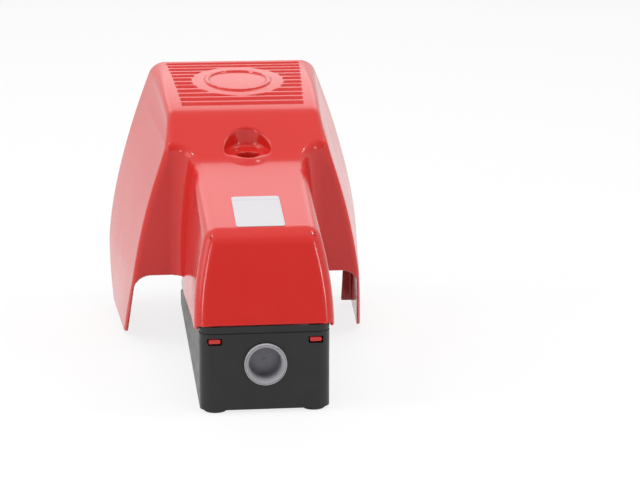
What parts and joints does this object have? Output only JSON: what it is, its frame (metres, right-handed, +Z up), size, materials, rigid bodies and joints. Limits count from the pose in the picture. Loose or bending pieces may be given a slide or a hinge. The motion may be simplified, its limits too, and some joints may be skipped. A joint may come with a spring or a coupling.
{
  "type": "industrial foot switch",
  "caption": "foot switch with a cast hood over a sprung pedal, a moulded base tray with a cable entry at the rear, and contact blocks worked by the pedal",
  "frame": {"origin": "on the ground under the middle of the switch, feet included", "axes": "+X to the right seen from the cable entry, +Y from the cable entry to the foot opening, +Z up"},
  "size_m": [0.1636, 0.241, 0.1605],
  "materials": {
    "red_paint": "glossy orange-peel enamel on a zinc alloy casting",
    "black_plastic": "satin moulded",
    "black_rubber": "matt",
    "grey_plastic": "smooth, slightly translucent",
    "label_white": "smooth adhesive film",
    "zinc_steel": "zinc plated",
    "dark_steel": "phosphated spring steel",
    "brass": "plain",
    "block_plastic": "moulded thermoset",
    "plunger_plastic": "moulded",
    "bush_plastic": "acetal",
    "tread_steel": "dark grey powder coat"
  },
  "bodies": {
    "base": {"base_housing": "black_plastic", "base_feet": "black_rubber", "entry_plug": "grey_plastic", "hood": "red_paint", "label_plate": "label_white", "hood_screw": "zinc_steel", "hood_washer": "zinc_steel", "hood_nut": "zinc_steel", "mechanism_frame": "zinc_steel", "frame_screws": "zinc_steel", "earth_screw": "brass", "earth_clamp": "brass", "pivot_pin": "zinc_steel", "pivot_clips": "dark_steel", "rest_bar": "zinc_steel", "contact_block_left": "block_plastic", "contact_block_right": "block_plastic", "fixed_contacts_left": "brass", "fixed_contacts_right": "brass", "terminal_screws": "zinc_steel", "block_bolts": "zinc_steel", "block_nuts": "zinc_steel", "pedal_bumper": "black_rubber", "pedal_spring": "dark_steel", "plunger_spring_left": "zinc_steel", "plunger_spring_right": "zinc_steel"},
    "pedal": {"pedal_lever": "zinc_steel", "tread_plate": "tread_steel", "tread_pad": "black_rubber", "tread_rivets": "zinc_steel", "pivot_bushes": "bush_plastic", "spring_seat": "black_plastic", "actuator_screws": "zinc_steel", "actuator_nuts": "zinc_steel"},
    "left_plunger": {"plunger_left": "plunger_plastic", "bridge_left": "brass"},
    "right_plunger": {"plunger_right": "plunger_plastic", "bridge_right": "brass"}
  },
  "joints": [
    {"name": "pedal_pivot", "type": "hinge", "parent": "base", "child": "pedal", "pos_m": [0, -0.0001, 0.046], "axis": [-1, 0, 0], "range_deg": [0, 7], "stiffness_Nm_per_rad": 8, "springref_deg": -2.86, "deforming": ["pedal_spring"]},
    {"name": "left_plunger_slide", "type": "slide", "parent": "base", "child": "left_plunger", "axis": [0, 0, 1], "range_m": [0, 0.00371], "stiffness_N_per_m": 150, "springref_m": -0.002, "deforming": ["plunger_spring_left"]},
    {"name": "right_plunger_slide", "type": "slide", "parent": "base", "child": "right_plunger", "axis": [0, 0, 1], "range_m": [0, 0.00371], "stiffness_N_per_m": 150, "springref_m": -0.002, "deforming": ["plunger_spring_right"]}
  ],
  "couplings": [
    {"joint": "left_plunger_slide", "follows": "pedal_pivot", "m_per_rad": 0.030196},
    {"joint": "right_plunger_slide", "follows": "pedal_pivot", "m_per_rad": 0.030196}
  ]
}
